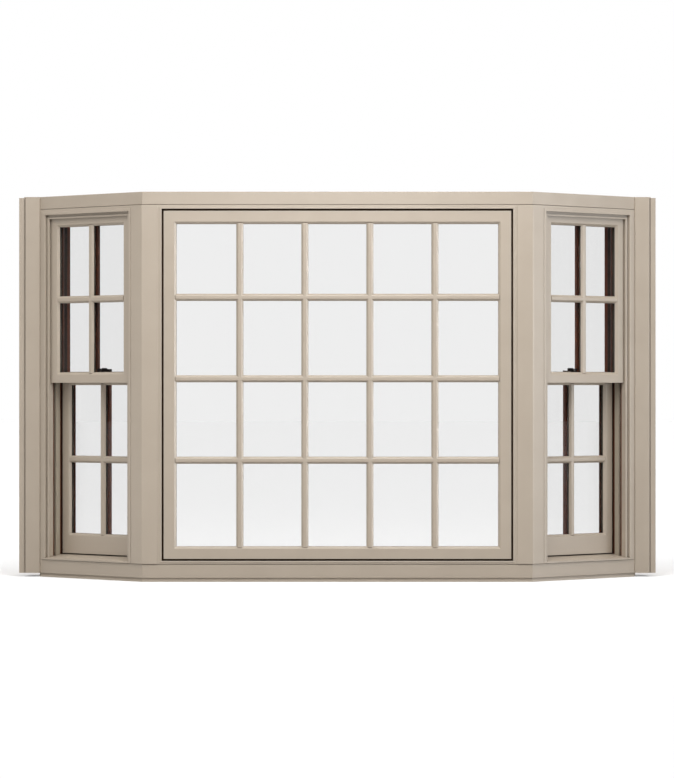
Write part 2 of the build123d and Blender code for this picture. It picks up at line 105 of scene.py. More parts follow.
def unit_points(node, side):
    """Points of a CAD node as its own window sees them: along it, behind its face and up."""
    turn = Matrix.Rotation(-turn_of(side), 3, "Z")
    return [turn @ vertex.co for vertex in frame["nodes"][node].data.vertices]


def span(values):
    """Middle and length of a row of numbers."""
    low, high = min(values), max(values)
    return (low + high) / 2, high - low


def glass_opening(side, sash):
    """What shows of a sash's glass: the middle of its outer face, its width, height and thickness."""
    points = unit_points(f"{sash}_cladding", side)
    middle, _ = span([p.x for p in points])
    half = min(abs(p.x - middle) for p in points)
    level, height = span([p.z for p in points if abs(abs(p.x - middle) - half) < TOUCHING])
    outer_face = max(p.y for p in points)
    lip = [p.y for p in unit_points(f"{sash}_wood", side) if abs(abs(p.x - middle) - half) < TOUCHING]
    return Vector((middle, outer_face, level)), 2 * half, height, min(lip) - outer_face


# ---------------------------------------------------------------- nodes


def linear(code):
    """Linear colour from an sRGB hex code."""
    channels = [int(code[i : i + 2], 16) / 255 for i in (0, 2, 4)]
    return [c / 12.92 if c <= 0.04045 else ((c + 0.055) / 1.055) ** 2.4 for c in channels]


def colour(shade, share=1.0):
    """A colour, or a share of it, as a socket wants it."""
    return (*(min(1.0, c * share) for c in shade), 1.0)


def in_use(sockets, key):
    """Socket by its place or name, among those that the settings of its node leave in use."""
    used = [socket for socket in sockets if socket.enabled]
    return used[key] if isinstance(key, int) else next(socket for socket in used if socket.name == key)


def add(tree, kind, inputs=None, **settings):
    """Adds a node with its settings. An input takes a value, a socket, or a node for its first result."""
    node = tree.nodes.new(kind)
    for name, value in settings.items():
        setattr(node, name, value)
    for key, value in (inputs or {}).items():
        if isinstance(value, bpy.types.Node):
            value = in_use(value.outputs, 0)
        if isinstance(value, bpy.types.NodeSocket):
            tree.links.new(value, in_use(node.inputs, key))
        else:
            in_use(node.inputs, key).default_value = value
    return node


def new_material(name):
    """Empty material and its tree."""
    material = bpy.data.materials.new(name)
    material.use_nodes = True
    material.node_tree.nodes.clear()
    return material, material.node_tree


def painted_crevice_shade(tree, shade, reach, share):
    """Colour of which only a share is left where faces crowd together within reach: painted shade in
    crevices, recesses and inner corners.
    """
    # ambient occlusion finds where faces crowd together, and the colour is darkened there as painted shade
    crowding = add(tree, "ShaderNodeAmbientOcclusion", {"Distance": reach}, samples=6).outputs["AO"]
    openness = add(tree, "ShaderNodeMapRange", {"Value": crowding, "From Min": 0.1, "From Max": 0.55})
    # red is dimmed least and blue most, so the painted shade looks warm
    crevice_colour = colour([share**power for power in (0.9, 1.0, 1.1)])
    shares = {"Factor": openness, "A": crevice_colour, "B": (1.0, 1.0, 1.0, 1.0)}
    dimmed = add(tree, "ShaderNodeMix", shares, data_type="RGBA")
    both = {"Factor": 1.0, "A": shade, "B": dimmed}
    return add(tree, "ShaderNodeMix", both, data_type="RGBA", blend_type="MULTIPLY")


def relief(tree, height, strength, distance, edge, invert=False):
    """Normal of a surface with a fine relief, whose sharp edges paint or sanding has rounded a little."""
    rounded = add(tree, "ShaderNodeBevel", {"Radius": edge}, samples=4)
    inputs = {"Strength": strength, "Distance": distance, "Height": height, "Normal": rounded}
    return add(tree, "ShaderNodeBump", inputs, invert=invert)


# ---------------------------------------------------------------- finishes


def baked_paint(name, shade, roughness, joints=0.15):
    """Acrylic paint baked on extruded aluminium: even and satin, with a fine orange peel and faint clouds."""
    material, tree = new_material(name)
    place = add(tree, "ShaderNodeTexCoord").outputs["Object"]
    # clouding of the coat over about 70 mm
    clouding = {"Vector": place, "Scale": 14.0, "Detail": 3.0, "Roughness": 0.55}
    cloud = add(tree, "ShaderNodeTexNoise", clouding)
    # orange peel, about 1 mm on the real part, drawn at 2.5 mm so that it shows
    peeling = {"Vector": place, "Scale": 400.0, "Detail": 2.0, "Roughness": 0.5}
    peel = add(tree, "ShaderNodeTexNoise", peeling)
    clouded = add(tree, "ShaderNodeMapRange", {"Value": cloud, "From Min": 0.35, "From Max": 0.65})
    shades = {"Factor": clouded, "A": colour(shade, 0.985), "B": colour(shade, 1.01)}
    coat = add(tree, "ShaderNodeMix", shades, data_type="RGBA")
    gloss = {
        "Value": cloud,
        "From Min": 0.35,
        "From Max": 0.65,
        "To Min": roughness - 0.04,
        "To Max": roughness + 0.04,
    }
    surface = {
        # painted shade: the coat darkens where faces crowd together
        "Base Color": painted_crevice_shade(tree, coat, reach=0.013, share=joints),
        "Roughness": add(tree, "ShaderNodeMapRange", gloss),
        "Normal": relief(tree, peel, strength=0.12, distance=0.0002, edge=0.0007),
        "IOR": 1.5,
        "Specular IOR Level": 0.65,
    }
    add(tree, "ShaderNodeOutputMaterial", {"Surface": add(tree, "ShaderNodeBsdfPrincipled", surface)})
    return material


def wood(name, shades, roughness, lacquer, pore, sight, turn=0.0, middle=0.0, joints=1.0):
    """Wood with the grain up its stiles and along its rails, in a dark, a light and a pore shade.

    Stiles are what stands more than sight away from the middle of a window at this turn. A coat of lacquer
    lies over the stain, and the pores stay a little open.
    """
    material, tree = new_material(name)
    place = add(tree, "ShaderNodeTexCoord").outputs["Object"]
    turned = add(tree, "ShaderNodeVectorRotate", {"Vector": place, "Angle": -turn}, rotation_type="Z_AXIS")
    axes = add(tree, "ShaderNodeSeparateXYZ", {"Vector": turned}).outputs
    offset = add(tree, "ShaderNodeMath", {0: axes["X"], 1: middle}, operation="SUBTRACT")
    distance = add(tree, "ShaderNodeMath", {0: offset}, operation="ABSOLUTE")
    stile = add(tree, "ShaderNodeMath", {0: distance, 1: sight}, operation="GREATER_THAN")
    upright = add(tree, "ShaderNodeCombineXYZ", {"X": axes["X"], "Y": axes["Y"], "Z": axes["Z"]})
    level = add(tree, "ShaderNodeCombineXYZ", {"X": axes["Z"], "Y": axes["Y"], "Z": axes["X"]})
    grain = add(tree, "ShaderNodeMix", {"Factor": stile, "A": level, "B": upright}, data_type="VECTOR")
    # growth rings, about 3 mm apart in the real wood, drawn 10 mm apart so that they show, and streaks 17 mm
    # wide, both stretched 20 times along the grain
    long_grain = add(tree, "ShaderNodeVectorMath", {0: grain, 1: (1.0, 1.0, 0.05)}, operation="MULTIPLY")
    streaks = {"Vector": long_grain, "Scale": 60.0, "Detail": 4.0, "Roughness": 0.6}
    wander = add(tree, "ShaderNodeTexNoise", streaks)
    bands = {"Vector": long_grain, "Scale": 32.0, "Distortion": 5.0, "Detail": 3.0, "Detail Scale": 1.5}
    rings = add(tree, "ShaderNodeTexWave", bands, wave_type="BANDS", bands_direction="X")
    figure = add(tree, "ShaderNodeMix", {"Factor": 0.45, "A": wander, "B": rings.outputs["Fac"]})
    # open pores 0.3 mm wide, drawn at 1 mm, and up to 30 mm long
    fine_grain = add(tree, "ShaderNodeVectorMath", {0: grain, 1: (1.0, 1.0, 0.03)}, operation="MULTIPLY")
    flecks = add(tree, "ShaderNodeTexNoise", {"Vector": fine_grain, "Scale": 1000.0, "Detail": 2.0})
    pores = add(tree, "ShaderNodeMapRange", {"Value": flecks, "From Min": 0.62, "From Max": 0.72})
    filled = add(tree, "ShaderNodeMath", {0: pores, 1: pore}, operation="MULTIPLY")
    dark, light, deep = [colour(shade) for shade in shades]
    figured = add(tree, "ShaderNodeMix", {"Factor": figure, "A": dark, "B": light}, data_type="RGBA")
    stain = add(tree, "ShaderNodeMix", {"Factor": filled, "A": figured, "B": deep}, data_type="RGBA")
    gloss = {"Value": figure, "To Min": roughness - 0.05, "To Max": roughness + 0.06}
    surface = {
        # painted shade: the stain darkens where faces crowd together, when its share is under 1
        "Base Color": painted_crevice_shade(tree, stain, reach=0.02, share=joints),
        "Roughness": add(tree, "ShaderNodeMapRange", gloss),
        "Normal": relief(tree, pores, strength=0.15, distance=0.0002, edge=0.0008, invert=True),
        "IOR": 1.5,
        "Specular IOR Level": 0.18,
        "Coat Weight": lacquer,
        "Coat Roughness": 0.22,
    }
    add(tree, "ShaderNodeOutputMaterial", {"Surface": add(tree, "ShaderNodeBsdfPrincipled", surface)})
    return material


def stained(name, finishes, sight, turn=0.0, middle=0.0, joints=1.0):
    """Mahogany-stained wood of the room side, rubbed satin."""
    shades = (finishes.stain_dark, finishes.stain_light, finishes.stain_pore)
    satin = {"roughness": 0.45, "lacquer": 0.04, "pore": 0.6}
    return wood(name, shades, sight=sight, turn=turn, middle=middle, joints=joints, **satin)


def clear_glass(name, tint):
    """Low-reflection float glass: flat and clear, with an IOR set by how little the coated panes mirror.

    It lets the light of the lamps through to what is behind it.
    """
    material, tree = new_material(name)
    pane = {"Base Color": colour(tint), "Roughness": 0.0, "IOR": 1.2, "Transmission Weight": 1.0}
    rays = {
        0: add(tree, "ShaderNodeLightPath").outputs["Is Shadow Ray"],
        1: add(tree, "ShaderNodeBsdfPrincipled", pane),
        2: add(tree, "ShaderNodeBsdfTransparent", {"Color": colour(tint, 0.96)}),
    }
    add(tree, "ShaderNodeOutputMaterial", {"Surface": add(tree, "ShaderNodeMixShader", rays)})
    return material


def moulded_vinyl(
    name, shade, roughness, stripe, turn=0.0, inner=FAR, painted_deep_shade=(0.0, 0.0, 0.0), joints=1.0
):
    """Extruded PVC, rubber or foam: dull and smooth, with faint lines left by the die along its length.

    What lies deeper than inner behind a window's face takes a darker colour: painted shade of the deep track.
    """
    material, tree = new_material(name)
    place = add(tree, "ShaderNodeTexCoord").outputs["Object"]
    turned = add(tree, "ShaderNodeVectorRotate", {"Vector": place, "Angle": -turn}, rotation_type="Z_AXIS")
    depth = add(tree, "ShaderNodeSeparateXYZ", {"Vector": turned}).outputs["Y"]
    behind = add(tree, "ShaderNodeMath", {0: depth, 1: inner}, operation="GREATER_THAN")
    # die lines 0.5 mm apart, drawn at 1.5 mm
    drawn = add(tree, "ShaderNodeVectorMath", {0: place, 1: (1.0, 1.0, 0.01)}, operation="MULTIPLY")
    lines = add(tree, "ShaderNodeTexNoise", {"Vector": drawn, "Scale": 650.0, "Detail": 2.0})
    # dust in patches of about 30 mm
    dust = add(tree, "ShaderNodeTexNoise", {"Vector": place, "Scale": 30.0, "Detail": 4.0})
    share = add(tree, "ShaderNodeMapRange", {"Value": lines, "From Min": 0.3, "From Max": 0.7})
    stripes = {"Factor": share, "A": colour(shade, 1 - stripe), "B": colour(shade, 1 + stripe)}
    striped = add(tree, "ShaderNodeMix", stripes, data_type="RGBA")
    # painted shade: a darker colour for what lies deeper than inner
    deep_shading = {"Factor": behind, "A": striped, "B": colour(painted_deep_shade)}
    deep_shaded = add(tree, "ShaderNodeMix", deep_shading, data_type="RGBA")
    gloss = {
        "Value": dust,
        "From Min": 0.3,
        "From Max": 0.7,
        "To Min": roughness - 0.06,
        "To Max": roughness + 0.08,
    }
    surface = {
        # painted shade: the vinyl darkens where faces crowd together, when its share is under 1
        "Base Color": painted_crevice_shade(tree, deep_shaded, reach=0.015, share=joints),
        "Roughness": add(tree, "ShaderNodeMapRange", gloss),
        "Normal": relief(tree, lines, strength=0.15, distance=0.0002, edge=0.0005),
        "IOR": 1.53,
        "Specular IOR Level": 0.1,
    }
    add(tree, "ShaderNodeOutputMaterial", {"Surface": add(tree, "ShaderNodeBsdfPrincipled", surface)})
    return material


def rubbed_bronze(name, shade, worn):
    """Die-cast zinc in an oil-rubbed bronze lacquer: almost black, with warmer metal where hands rub it."""
    material, tree = new_material(name)
    place = add(tree, "ShaderNodeTexCoord").outputs["Object"]
    # cast skin, 0.8 mm
    skin = add(tree, "ShaderNodeTexNoise", {"Vector": place, "Scale": 1200.0, "Detail": 3.0})
    # rubbed patches, 11 mm
    patches = {"Vector": place, "Scale": 90.0, "Detail": 4.0, "Roughness": 0.65}
    rubbed = add(tree, "ShaderNodeTexNoise", patches)
    wear = {"Value": rubbed, "From Min": 0.5, "From Max": 0.75, "To Max": 0.6}
    metal = {"Factor": add(tree, "ShaderNodeMapRange", wear), "A": colour(shade), "B": colour(worn)}
    surface = {
        "Base Color": add(tree, "ShaderNodeMix", metal, data_type="RGBA"),
        "Metallic": 0.6,
        "Roughness": add(tree, "ShaderNodeMapRange", {"Value": rubbed, "To Min": 0.32, "To Max": 0.5}),
        "Normal": relief(tree, skin, strength=0.2, distance=0.0001, edge=0.0006),
    }
    add(tree, "ShaderNodeOutputMaterial", {"Surface": add(tree, "ShaderNodeBsdfPrincipled", surface)})
    return material


# ---------------------------------------------------------------- geometry node trees


def new_tree(name, inputs):
    """Geometry node tree with a mesh output and named inputs. Returns the tree and its inputs."""
    tree = bpy.data.node_groups.new(name, "GeometryNodeTree")
    tree.interface.new_socket(name="Geometry", in_out="OUTPUT", socket_type="NodeSocketGeometry")
    for label, kind, default in inputs:
        made = tree.interface.new_socket(name=label, in_out="INPUT", socket_type=kind)
        if default is not None:
            made.default_value = default
    return tree, add(tree, "NodeGroupInput").outputs


def bars_tree():
    """Grid of ovolo glazing bars over one pane, with the crossings joined."""
    tree, given = new_tree(
        "glazing_bars",
        (
            ("Width", "NodeSocketFloat", 1.0),
            ("Height", "NodeSocketFloat", 1.0),
            ("Columns", "NodeSocketInt", 2),
            ("Rows", "NodeSocketInt", 2),
            ("Bar Width", "NodeSocketFloat", 0.022),
            ("Bar Flat", "NodeSocketFloat", 0.01),
            ("Bar Rise", "NodeSocketFloat", 0.009),
            ("Shoulder", "NodeSocketFloat", 0.003),
            ("Overrun", "NodeSocketFloat", 0.003),
            ("Spread", "NodeSocketFloat", 1.0),
            ("Lift", "NodeSocketFloat", 0.0),
            ("Upright Material", "NodeSocketMaterial", None),
            ("Level Material", "NodeSocketMaterial", None),
        ),
    )
    # the profile stands on y = 0, and only its two upper corners are rounded
    trapezoid = {
        "Bottom Width": given["Bar Width"],
        "Top Width": given["Bar Flat"],
        "Offset": 0.0,
        "Height": given["Bar Rise"],
    }
    section = add(tree, "GeometryNodeCurvePrimitiveQuadrilateral", trapezoid, mode="TRAPEZOID")
    corner = add(tree, "GeometryNodeInputPosition")
    height = add(tree, "ShaderNodeSeparateXYZ", {"Vector": corner}).outputs["Y"]
    upper = add(tree, "ShaderNodeMath", {0: height, 1: 0.0}, operation="GREATER_THAN")
    radius = add(tree, "ShaderNodeMath", {0: upper, 1: given["Shoulder"]}, operation="MULTIPLY")
    rounding = {"Curve": section, "Radius": radius, "Count": 6}
    rounded = add(tree, "GeometryNodeFilletCurve", rounding, mode="POLY")
    foot = add(tree, "ShaderNodeMath", {0: given["Bar Rise"], 1: 0.5}, operation="MULTIPLY")
    raised = {"Geometry": rounded, "Translation": add(tree, "ShaderNodeCombineXYZ", {"Y": foot})}
    profile = add(tree, "GeometryNodeTransform", raised)

    # both runs are grown upright, and the level one is then laid on its side with its rise still along +y
    lift = add(tree, "ShaderNodeCombineXYZ", {"Z": given["Lift"]})
    laid = {"Rotation": (0.0, radians(90), 0.0), "Translation": lift}
    runs = []
    for count, across, along, finish, move in (
        (given["Columns"], given["Width"], given["Height"], given["Upright Material"], None),
        (given["Rows"], given["Height"], given["Width"], given["Level Material"], laid),
    ):
        even = add(tree, "ShaderNodeMath", {0: across, 1: count}, operation="DIVIDE")
        space = add(tree, "ShaderNodeMath", {0: even, 1: given["Spread"]}, operation="MULTIPLY")
        half = add(tree, "ShaderNodeMath", {0: along, 1: 0.5}, operation="MULTIPLY")
        end = add(tree, "ShaderNodeMath", {0: half, 1: given["Overrun"]}, operation="ADD")
        start = add(tree, "ShaderNodeMath", {0: end, 1: -1.0}, operation="MULTIPLY")
        ends = {
            "Start": add(tree, "ShaderNodeCombineXYZ", {"Z": start}),
            "End": add(tree, "ShaderNodeCombineXYZ", {"Z": end}),
        }
        line = add(tree, "GeometryNodeCurvePrimitiveLine", ends)
        # half of the spaces lie to each side of the middle, and the first bar stands one space in
        edge = add(tree, "ShaderNodeMath", {0: count, 1: -0.5}, operation="MULTIPLY")
        inset = add(tree, "ShaderNodeMath", {0: edge, 1: 1.0}, operation="ADD")
        first = add(tree, "ShaderNodeMath", {0: inset, 1: space}, operation="MULTIPLY")
        row = {
            "Count": add(tree, "ShaderNodeMath", {0: count, 1: 1.0}, operation="SUBTRACT"),
            "Start Location": add(tree, "ShaderNodeCombineXYZ", {"X": first}),
            "Offset": add(tree, "ShaderNodeCombineXYZ", {"X": space}),
        }
        places = add(tree, "GeometryNodeMeshLine", row, mode="OFFSET")
        placed = add(tree, "GeometryNodeInstanceOnPoints", {"Points": places, "Instance": line})
        lines = add(tree, "GeometryNodeRealizeInstances", {"Geometry": placed})
        sweep = {"Curve": lines, "Profile Curve": profile, "Fill Caps": True}
        run = add(tree, "GeometryNodeCurveToMesh", sweep)
        if move:
            run = add(tree, "GeometryNodeTransform", {"Geometry": run, **move})
        runs.append(add(tree, "GeometryNodeSetMaterial", {"Geometry": run, "Material": finish}))
    joined = add(tree, "GeometryNodeMeshBoolean", operation="UNION", solver="EXACT")
    for run in runs:
        tree.links.new(run.outputs[0], joined.inputs["Mesh 2"])
    plain = add(tree, "GeometryNodeRealizeInstances", {"Geometry": joined})
    flat = add(tree, "GeometryNodeSetShadeSmooth", {"Geometry": plain, "Shade Smooth": False})
    add(tree, "NodeGroupOutput", {"Geometry": flat})
    return tree


def seal_tree():
    """Strip of foam or rubber that runs round a rectangle, with mitred corners.

    The sweep doesn't widen its section at a corner, so the strip is 0.71 of Strip Width across.
    """
    tree, given = new_tree(
        "seal",
        (
            ("Width", "NodeSocketFloat", 1.0),
            ("Height", "NodeSocketFloat", 1.0),
            ("Strip Width", "NodeSocketFloat", 0.005),
            ("Strip Depth", "NodeSocketFloat", 0.004),
            ("Material", "NodeSocketMaterial", None),
        ),
    )
    size = {"Width": given["Width"], "Height": given["Height"]}
    outline = add(tree, "GeometryNodeCurvePrimitiveQuadrilateral", size)
    path = add(tree, "GeometryNodeTransform", {"Geometry": outline, "Rotation": (radians(90), 0.0, 0.0)})
    # once the path stands up, the section's width lies in the depth of the seal
    section = {"Width": given["Strip Depth"], "Height": given["Strip Width"]}
    profile = add(tree, "GeometryNodeCurvePrimitiveQuadrilateral", section)
    swept = add(tree, "GeometryNodeCurveToMesh", {"Curve": path, "Profile Curve": profile})
    plain = add(tree, "GeometryNodeRealizeInstances", {"Geometry": swept})
    finish = {"Geometry": plain, "Material": given["Material"]}
    add(tree, "NodeGroupOutput", {"Geometry": add(tree, "GeometryNodeSetMaterial", finish)})
    return tree


def screws_tree():
    """Row of screws with tapered heads, standing on their seat."""
    tree, given = new_tree(
        "screws",
        (
            ("Count", "NodeSocketInt", 2),
            ("Apart", "NodeSocketFloat", 0.05),
            ("Head Radius", "NodeSocketFloat", 0.003),
            ("Head Height", "NodeSocketFloat", 0.001),
            ("Material", "NodeSocketMaterial", None),
        ),
    )
    spaces = add(tree, "ShaderNodeMath", {0: 1.0, 1: given["Count"]}, operation="SUBTRACT")
    half = add(tree, "ShaderNodeMath", {0: given["Apart"], 1: 0.5}, operation="MULTIPLY")
    first = add(tree, "ShaderNodeMath", {0: spaces, 1: half}, operation="MULTIPLY")
    row = {
        "Count": given["Count"],
        "Start Location": add(tree, "ShaderNodeCombineXYZ", {"X": first}),
        "Offset": add(tree, "ShaderNodeCombineXYZ", {"X": given["Apart"]}),
    }
    places = add(tree, "GeometryNodeMeshLine", row, mode="OFFSET")
    taper = {
        "Vertices": 24,
        "Radius Top": add(
            tree, "ShaderNodeMath", {0: given["Head Radius"], 1: HEAD_TOP}, operation="MULTIPLY"
        ),
        "Radius Bottom": given["Head Radius"],
        "Depth": given["Head Height"],
    }
    head = add(tree, "GeometryNodeMeshCone", taper)
    placed = add(tree, "GeometryNodeInstanceOnPoints", {"Points": places, "Instance": head})
    plain = add(tree, "GeometryNodeRealizeInstances", {"Geometry": placed})
    finish = {"Geometry": plain, "Material": given["Material"]}
    add(tree, "NodeGroupOutput", {"Geometry": add(tree, "GeometryNodeSetMaterial", finish)})
    return tree


def grown_piece(name, tree, values, side, place, about=None):
    """Runs a tree, sets its mesh in the frame beside a window, and makes it a piece of the bay."""
    carrier = bpy.data.objects.new(f"{name}_carrier", bpy.data.meshes.new(f"{name}_carrier"))
    bpy.context.scene.collection.objects.link(carrier)
    modifier = carrier.modifiers.new("grow", "NODES")
    modifier.node_group = tree
    sockets = {item.name: item.identifier for item in tree.interface.items_tree if item.in_out == "INPUT"}
    for label, value in values.items():
        modifier[sockets[label]] = value
    shown = carrier.evaluated_get(bpy.context.evaluated_depsgraph_get())
    mesh = bpy.data.meshes.new_from_object(shown)
    bpy.data.objects.remove(carrier)
    if not mesh.polygons:
        raise RuntimeError(f"{name} came out empty")
    mesh.name = name
    mesh.transform(Matrix.Rotation(turn_of(side), 4, "Z") @ Matrix.Translation(place) @ (about or Matrix()))
    piece = bpy.data.objects.new(name, mesh)
    bpy.context.scene.collection.objects.link(piece)
    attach(piece, "root")
    return piece


# ---------------------------------------------------------------- settings


TINT = {"subtype": "COLOR", "min": 0.0, "max": 1.0}


class BayFinishes(bpy.types.PropertyGroup):
    """Colours of the finishes"""

    paint: bpy.props.FloatVectorProperty(
        name="Cladding", description="Paint of the aluminium", default=linear("AA9D8D"), **TINT
    )
    stain_light: bpy.props.FloatVectorProperty(
        name="Stain, light", description="Stained wood between the pores", default=linear("7A432A"), **TINT
    )
    stain_dark: bpy.props.FloatVectorProperty(
        name="Stain, dark", description="Stained late wood", default=linear("4C2415"), **TINT
    )
    stain_pore: bpy.props.FloatVectorProperty(
        name="Stain, pores", description="Stain gathered in the pores", default=linear("1A0B06"), **TINT
    )
    timber_light: bpy.props.FloatVectorProperty(
        name="Timber, light", description="Bare softwood", default=linear("D8BC8F"), **TINT
    )
    timber_dark: bpy.props.FloatVectorProperty(
        name="Timber, dark", description="Late wood of bare softwood", default=linear("B48C5A"), **TINT
    )
    liner: bpy.props.FloatVectorProperty(
        name="Jamb liner", description="PVC track of the sashes", default=linear("9C9282"), **TINT
    )
    # darker colour of the room-side half of the liner: painted shade of the deep track
    shaded_inner_liner: bpy.props.FloatVectorProperty(
        name="Inner track", description="PVC strip beside the inner track", default=linear("3A2E27"), **TINT
    )
    spacer: bpy.props.FloatVectorProperty(
        name="Spacer", description="Spacer between the panes", default=linear("3B342E"), **TINT
    )
    rubber: bpy.props.FloatVectorProperty(
        name="Seals", description="Rubber and pile of the weatherstrips", default=linear("3F3022"), **TINT
    )
    bronze: bpy.props.FloatVectorProperty(
        name="Lock", description="Bronze lacquer of the sash locks", default=linear("1B1411"), **TINT
    )
    bronze_worn: bpy.props.FloatVectorProperty(
        name="Lock, rubbed", description="Metal where the lock is handled", default=linear("4A3322"), **TINT
    )
    front_glass: bpy.props.FloatVectorProperty(
        name="Front glass", description="Light through one pane", default=linear("F8F8F8"), **TINT
    )
    side_glass: bpy.props.FloatVectorProperty(
        name="Side glass", description="Light slanting through one pane", default=linear("F4F4F4"), **TINT
    )


class BayBars(bpy.types.PropertyGroup):
    """Sizes and numbers of the glazing bars"""

    width: bpy.props.FloatProperty(
        name="Bar width",
        description="Across a bar on the glass",
        default=0.0222,
        min=0.012,
        max=0.04,
        unit="LENGTH",
    )
    flat: bpy.props.FloatProperty(
        name="Bar flat",
        description="Flat face between the shoulders",
        default=0.011,
        min=0.002,
        max=0.03,
        unit="LENGTH",
    )
    rise: bpy.props.FloatProperty(
        name="Bar rise",
        description="How far a bar stands off the glass",
        default=0.008,
        min=0.003,
        max=0.02,
        unit="LENGTH",
    )
    room_flat: bpy.props.FloatProperty(
        name="Room bar flat",
        description="Flat face of the wood bars",
        default=0.016,
        min=0.002,
        max=0.03,
        unit="LENGTH",
    )
    room_rise: bpy.props.FloatProperty(
        name="Room bar rise",
        description="How far a wood bar stands off the glass",
        default=0.0152,
        min=0.003,
        max=0.02,
        unit="LENGTH",
    )
    shoulder: bpy.props.FloatProperty(
        name="Shoulder",
        description="Rounding of the shoulders",
        default=0.004,
        min=0.0005,
        max=0.01,
        unit="LENGTH",
    )
    between: bpy.props.FloatProperty(
        name="Bar between panes",
        description="Width of the spacer bar inside the glass unit",
        default=0.010,
        min=0.004,
        max=0.02,
        unit="LENGTH",
    )
    front_columns: bpy.props.IntProperty(
        name="Front columns", description="Lights across the picture window", default=5, min=1, max=9
    )
    front_rows: bpy.props.IntProperty(
        name="Front rows", description="Lights up the picture window", default=4, min=1, max=9
    )
    front_spread: bpy.props.FloatProperty(
        name="Front spread",
        description="Spacing of the front bars against an even division of the glass",
        default=1.011,
        min=0.9,
        max=1.1,
    )
    front_lift: bpy.props.FloatProperty(
        name="Front lift",
        description="Height of the front bars above an even division of the glass",
        default=0.020,
        min=-0.1,
        max=0.1,
        unit="LENGTH",
    )
    side_columns: bpy.props.IntProperty(
        name="Side columns", description="Lights across a side sash", default=2, min=1, max=5
    )
    side_rows: bpy.props.IntProperty(
        name="Side rows", description="Lights up a side sash", default=2, min=1, max=5
    )


class BaySeals(bpy.types.PropertyGroup):
    """Sizes of the seals"""

    width: bpy.props.FloatProperty(
        name="Seal width",
        description="Across the section of the seal round the fixed sash, before its mitres narrow it",
        default=0.0055,
        min=0.002,
        max=0.01,
        unit="LENGTH",
    )
    depth: bpy.props.FloatProperty(
        name="Seal depth",
        description="How thick the seal round the fixed sash is",
        default=0.004,
        min=0.001,
        max=0.01,
        unit="LENGTH",
    )
    pile_height: bpy.props.FloatProperty(
        name="Pile height",
        description="Up the seal between the meeting rails, before its mitres narrow it",
        default=0.006,
        min=0.002,
        max=0.02,
        unit="LENGTH",
    )


class BayLockScrews(bpy.types.PropertyGroup):
    """Sizes of the screws of the sash locks"""

    head_radius: bpy.props.FloatProperty(
        name="Screw head",
        description="Radius of a lock screw's head",
        default=0.0025,
        min=0.001,
        max=0.005,
        unit="LENGTH",
    )
    spacing: bpy.props.FloatProperty(
        name="Screw spacing",
        description="Between the two screws of a lock",
        default=0.050,
        min=0.03,
        max=0.056,
        unit="LENGTH",
    )


class BayStage(bpy.types.PropertyGroup):
    """Camera and light"""

    distance: bpy.props.FloatProperty(
        name="Camera distance",
        description="From the front face to the camera",
        default=12.19,
        min=1,
        max=50,
        unit="LENGTH",
    )
    eye: bpy.props.FloatProperty(
        name="Eye height", description="Camera above the floor", default=0.603, min=0, max=3, unit="LENGTH"
    )
    lens: bpy.props.FloatProperty(
        name="Lens", description="Focal length in millimetres", default=180.5, min=20, max=400, unit="CAMERA"
    )
    key: bpy.props.FloatProperty(
        name="Key", description="Softbox above and in front", default=50.0, min=0, max=2000, unit="POWER"
    )
    sheen: bpy.props.FloatProperty(
        name="Sheen",
        description="Softbox that the gloss on the right mirrors",
        default=180.0,
        min=0,
        max=2000,
        unit="POWER",
    )
    crown: bpy.props.FloatProperty(
        name="Crown",
        description="Softbox that the gloss of the head mirrors",
        default=17.0,
        min=0,
        max=2000,
        unit="POWER",
    )
    room: bpy.props.FloatProperty(
        name="Room", description="Light from the walls all round", default=0.4, min=0, max=2
    )
    zenith: bpy.props.FloatProperty(
        name="Ceiling", description="Light from straight above", default=2.0, min=0, max=4
    )
    mirrored: bpy.props.FloatProperty(
        name="Mirrored room",
        description="Brightness that gloss and glass mirror from the front",
        default=0.08,
        min=0,
        max=2,
    )


# ---------------------------------------------------------------- operators


